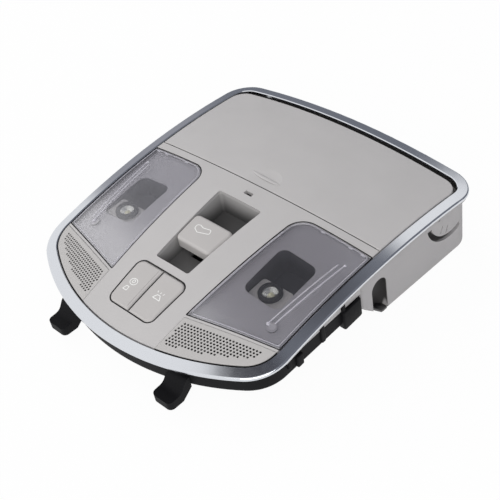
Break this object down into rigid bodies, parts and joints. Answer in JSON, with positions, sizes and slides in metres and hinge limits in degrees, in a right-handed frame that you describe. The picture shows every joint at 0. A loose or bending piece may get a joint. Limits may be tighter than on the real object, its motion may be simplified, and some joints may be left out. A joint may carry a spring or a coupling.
{
  "type": "overhead console",
  "caption": "Car overhead console with hinged map-lamp lenses, press buttons, a sliding and tilting roof knob, front grilles and a hinged sunglasses bin in a plated trim ring.",
  "frame": {"origin": "middle of the bounding box on the level base that the bin case stands on", "axes": "+X to the right across the car seen with the hooks in front, +Y from the hooks towards the sunglasses bin, +Z out of the crowned face"},
  "size_m": [0.188, 0.2137, 0.0517],
  "materials": {
    "light_grey": "fine matt grain",
    "button_grey": "satin",
    "grille_grey": "satin",
    "case_grey": "matt",
    "satin_trim": "satin plated",
    "smoke_lens": "clear gloss",
    "clear_optic": "clear gloss",
    "charcoal": "satin",
    "lamp_grey": "matt",
    "black_plastic": "satin",
    "steel": "bright",
    "board_green": "satin",
    "felt": "fibrous"
  },
  "bodies": {
    "console": {"acoustic_felt_left": "felt", "acoustic_felt_right": "felt", "bin_case": "case_grey", "button_switch_left": "black_plastic", "button_switch_right": "black_plastic", "circuit_board": "board_green", "connector_socket": "black_plastic", "front_panel": "light_grey", "grille_left": "grille_grey", "grille_right": "grille_grey", "hinge_pin_left": "steel", "hinge_pin_right": "steel", "housing_screws": "steel", "latch_body": "black_plastic", "led_bezel_left": "black_plastic", "led_bezel_right": "black_plastic", "led_block_left": "lamp_grey", "led_block_right": "lamp_grey", "led_board_left": "board_green", "led_board_right": "board_green", "led_optic_left": "clear_optic", "led_optic_right": "clear_optic", "map_switch_left": "black_plastic", "map_switch_right": "black_plastic", "microphone": "black_plastic", "panel_skirt_left": "light_grey", "panel_skirt_right": "light_grey", "rear_housing": "black_plastic", "reflector_left": "charcoal", "reflector_right": "charcoal", "sunroof_switch": "black_plastic", "switch_tub": "light_grey", "trim_ring": "satin_trim"},
    "lid": {"lid_panel": "light_grey", "lid_tray": "case_grey", "tray_liner": "felt", "lid_damper": "black_plastic", "latch_striker": "steel"},
    "lens_left": {"lens_left": "smoke_lens"},
    "lens_right": {"lens_right": "smoke_lens"},
    "button_left": {"button_left": "button_grey"},
    "button_right": {"button_right": "button_grey"},
    "sunroof_carriage": {"sunroof_carriage": "black_plastic", "knob_pin": "steel"},
    "sunroof_knob": {"sunroof_knob": "button_grey"}
  },
  "joints": [
    {"name": "lid_hinge", "type": "hinge", "parent": "console", "child": "lid", "pos_m": [0, 0.07302, 0.03565], "axis": [-1, 0, 0], "range_deg": [0, 72]},
    {"name": "lens_left_press", "type": "hinge", "parent": "console", "child": "lens_left", "pos_m": [-0.06, 0.01551, 0.04564], "axis": [1, 0, 0], "range_deg": [0, 0.6], "stiffness_Nm_per_rad": 8, "springref_deg": -0.34},
    {"name": "lens_right_press", "type": "hinge", "parent": "console", "child": "lens_right", "pos_m": [0.06, 0.01551, 0.04564], "axis": [1, 0, 0], "range_deg": [0, 0.6], "stiffness_Nm_per_rad": 8, "springref_deg": -0.34},
    {"name": "button_left_press", "type": "slide", "parent": "console", "child": "button_left", "axis": [0, 0.075, -0.9972], "range_m": [0, 0.0015], "stiffness_N_per_m": 800, "springref_m": -0.0005},
    {"name": "button_right_press", "type": "slide", "parent": "console", "child": "button_right", "axis": [0, 0.075, -0.9972], "range_m": [0, 0.0015], "stiffness_N_per_m": 800, "springref_m": -0.0005},
    {"name": "sunroof_slide", "type": "slide", "parent": "console", "child": "sunroof_carriage", "axis": [0, 0.9972, 0.075], "range_m": [-0.003, 0.003], "stiffness_N_per_m": 700},
    {"name": "sunroof_tilt", "type": "hinge", "parent": "sunroof_carriage", "child": "sunroof_knob", "pos_m": [0, -0.02461, 0.03573], "axis": [1, 0, 0], "range_deg": [-5, 5], "stiffness_Nm_per_rad": 0.3}
  ]
}
